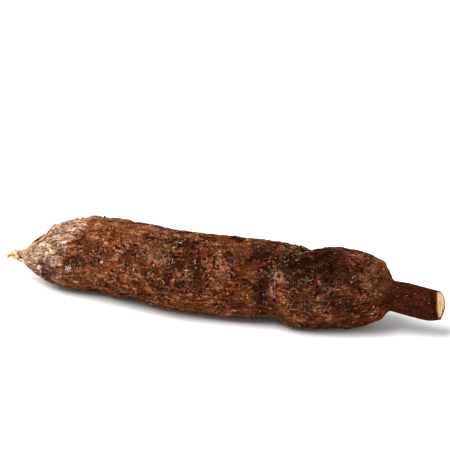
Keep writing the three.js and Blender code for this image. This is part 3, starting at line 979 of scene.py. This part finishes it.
def makeStubs():
    made = []
    for x, degrees, length, thickness in stubs["places"]:
        point = skinPoint(x, math.radians(degrees))
        y, z, _ = middleAt(x)
        out = (Vector(point) - Vector((x, float(y), float(z)))).normalized()
        whole = length + stubs["root"]
        foot, top = [thickness * share * mm for share in stubs["taper"]]
        deselectAll()
        bpy.ops.mesh.primitive_cone_add(
            vertices=14, radius1=foot, radius2=top, depth=whole * mm,
            location=(Vector(point) + out * (whole / 2 - stubs["root"])) * mm,
            rotation=out.to_track_quat("Z", "Y").to_euler())
        stub = bpy.context.object
        bpy.ops.object.transform_apply()
        editAll("DESELECT")
        endEdit()
        for polygon in stub.data.polygons:
            polygon.select = polygon.normal.dot(out) > 0.9
        bpy.ops.object.mode_set(mode="EDIT")
        for share, depth in stubs["hollow"]:
            bpy.ops.mesh.inset(thickness=thickness * share * mm, depth=-depth * mm)
        editAll()
        bpy.ops.mesh.subdivide(number_cuts=2)
        endEdit()
        made.append(stub)
    whole = joined(made, "sideRootStubs")
    roughen(whole, "stubNoise", *stubs["rough"])
    return finished(whole, brokenRoot())


def brokenRoot():
    # dried broken rootlet: pinkish tan wood with dark bark left in its furrows, matt
    material, add = newMaterial("brokenRoot")
    furrow = add("TexNoise", [add("TexCoord").outputs["Object"], 1000 / 1.2, 3, 0.7])
    tone = layCoats(add, "3E1E12", [("A98068", furrow, 0.42, 0.55, 1)])
    bump = add("Bump", {"Strength": 0.8, "Distance": 0.4 * mm, "Height": furrow})
    add("OutputMaterial", [add("BsdfPrincipled", {
        "Base Color": tone, "Roughness": 0.85, "Specular IOR Level": 0.05, "Normal": bump})])
    return material


sideRootStubs = makeStubs()
print("side root stubs done")


# Curled flakes of dry paper on the skin

flakes = {
    "clusters": 190, "each": (2, 10), "spread": 5.5,  # clusters, flakes in each, mm apart
    "middles": (-150, 138), "reach": (-165, 176),  # x in mm of clusters and of flakes
    "turn": 1.0, "tilt": 0.2,  # radians
    "length": (0.7, 2.2), "width": (0.35, 0.9), "thickness": 0.09, "curl": (0.15, 0.45), "lift": 0.08,
    "largeShare": 0.08, "large": 2.1, "largeTone": 0.75,  # how many are large, how much larger, darker
    "smoothPlace": (96, 122, 26, 22, 31),  # kept clear: x, angle, half length, half height, root's radius
    "lowest": 3,  # mm, so that nothing is pressed into the table
}


def skinSpot(x, angle):
    # the nearest point of the skin and the way that it faces
    return skinTree.find_nearest(Vector(skinPoint(x, angle)) * mm)[:2]


def giveTone(mesh, tone):
    attribute = mesh.attributes.new("flakeTone", "FLOAT", "POINT")
    attribute.data.foreach_set("value", [tone] * len(mesh.vertices))


def flakePattern():
    deselectAll()
    bpy.ops.mesh.primitive_grid_add(x_subdivisions=4, y_subdivisions=2, size=1)
    flake = named("flakePattern")
    # torn to a leaf shape, with its ends curling up
    for vertex in flake.data.vertices:
        x, y = vertex.co.x * 2, vertex.co.y * 2
        vertex.co.y *= 1 - 0.55 * x * x + 0.18 * math.sin(5 * x + 3 * y)
        vertex.co.z = x * x + 0.35 * y * y * (1 - abs(x))
    shapeWith(flake, "SOLIDIFY", thickness=flakes["thickness"], offset=0)
    return flake


def scatterFlakes():
    dice = random.Random(19)
    pattern = flakePattern()
    smoothX, middle, halfLength, halfHeight, girth = flakes["smoothPlace"]
    made = []
    for _ in range(flakes["clusters"]):
        x0, angle0 = dice.uniform(*flakes["middles"]), dice.uniform(0, 2 * math.pi)
        for _ in range(dice.randint(*flakes["each"])):
            x = x0 + dice.gauss(0, flakes["spread"])
            angle = angle0 + dice.gauss(0, flakes["spread"]) / skin["girth"]
            x = min(max(x, flakes["reach"][0]), flakes["reach"][1])
            place, normal = skinSpot(x, angle)
            round_ = awayFrom(middle, angle) * girth
            clear = math.hypot((x - smoothX) / halfLength, round_ / halfHeight) < 1
            if clear or place.z < flakes["lowest"] * mm:
                continue
            large = dice.random() < flakes["largeShare"]
            scale = (flakes["large"] if large else 1) * mm
            long_ = dice.uniform(*flakes["length"]) * scale
            wide = dice.uniform(*flakes["width"]) * scale
            curl = dice.uniform(*flakes["curl"]) * scale
            turn = Matrix.Rotation(dice.gauss(0, flakes["turn"]), 4, "Z")
            turn @= Matrix.Rotation(dice.gauss(0, flakes["tilt"]), 4, "Y")
            stand = normal.to_track_quat("Z", "X").to_matrix().to_4x4()
            size = Matrix.Diagonal((long_, wide, curl, 1))
            mesh = pattern.data.copy()
            mesh.transform(Matrix.Translation(place + normal * flakes["lift"] * mm) @ stand @ turn @ size)
            giveTone(mesh, dice.random() * (flakes["largeTone"] if large else 1))
            flake = bpy.data.objects.new("flake", mesh)
            bpy.context.collection.objects.link(flake)
            made.append(flake)
    bpy.data.objects.remove(pattern)
    return finished(joined(made, "barkFlakes"), dryPaper())


def dryPaper():
    # loose cork paper dried pale: from brown to pinkish white, quite matt
    material, add = newMaterial("dryPaper")
    own = add("Attribute", attribute_name="flakeTone").outputs["Fac"]
    grain = add("TexNoise", [add("TexCoord").outputs["Object"], 1000 / 0.8, 2, 0.5])
    tone = layCoats(add, "683418", [("C8A482", own, 0.35, 1.0, 1), ("4E2A1A", grain, 0.5, 0.35, 0.6)])
    add("OutputMaterial", [add("BsdfPrincipled", {
        "Base Color": tone, "Roughness": 0.8, "Specular IOR Level": 0.05})])
    return material


barkFlakes = scatterFlakes()
print("flakes done,", len(barkFlakes.data.polygons), "faces")


# Fine hairs: dried rootlets and frayed fibres that lie on the bark

hairs = {
    # where: x, angle in degrees, half length in mm, half spread in degrees, how many, heading, curl,
    # and the tone of the palest
    "areas": [
        (72, 84, 13, 26, 40, 0.25, 0.2, 0.9), (98, 172, 30, 30, 32, 1.0, 1.1, 0.85),
        (10, 140, 80, 50, 34, 0.9, 0.9, 0.9), (-10, 300, 130, 100, 50, 0.8, 0.9, 0.8),
        (60, 20, 70, 50, 16, 0.6, 0.6, 0.8), (-32, 140, 14, 22, 30, 0.9, 1.2, 1.0),
        (-14, 168, 26, 26, 22, 0.9, 1.1, 0.9), (84, 178, 12, 24, 12, 1.0, 1.0, 0.9),
    ],
    "length": (2, 5.5), "radius": 0.16, "lift": 0.08,  # mm
    "widths": (0.6, 1, 1, 0.9, 0.4),
}


def layHairs():
    dice = random.Random(29)
    made = []
    for x0, degrees, halfLength, halfSpread, count, heading, curl, palest in hairs["areas"]:
        for _ in range(count):
            x = x0 + dice.uniform(-halfLength, halfLength)
            angle = math.radians(degrees + dice.uniform(-halfSpread, halfSpread))
            ahead, bend = dice.gauss(0, heading), dice.gauss(0, curl)
            step = dice.uniform(*hairs["length"]) / (len(hairs["widths"]) - 1)
            points = []
            for _ in hairs["widths"]:
                place, normal = skinSpot(x, angle)
                points.append(place / mm + normal * hairs["lift"])
                x += step * math.cos(ahead)
                angle += step * math.sin(ahead) / skin["girth"]
                ahead += bend
            if min(point.z for point in points) < flakes["lowest"]:
                continue
            hair = bendThread("hair", points, hairs["widths"], hairs["radius"], 2)
            giveTone(hair.data, palest - dice.uniform(0, 0.5))
            made.append(hair)
    return finished(joined(made, "barkHairs"), dryPaper())


barkHairs = layHairs()
print("hairs done,", len(barkHairs.data.polygons), "faces")


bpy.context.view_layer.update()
for piece, slotName in ((root, "bark"), (tailFibres, "torn_fibre"), (sawnFace, "cut_wood"),
                        (sideRootStubs, "bark"), (barkFlakes, "bark"), (barkHairs, "bark")):
    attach(piece, "root")
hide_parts("cassava_root")
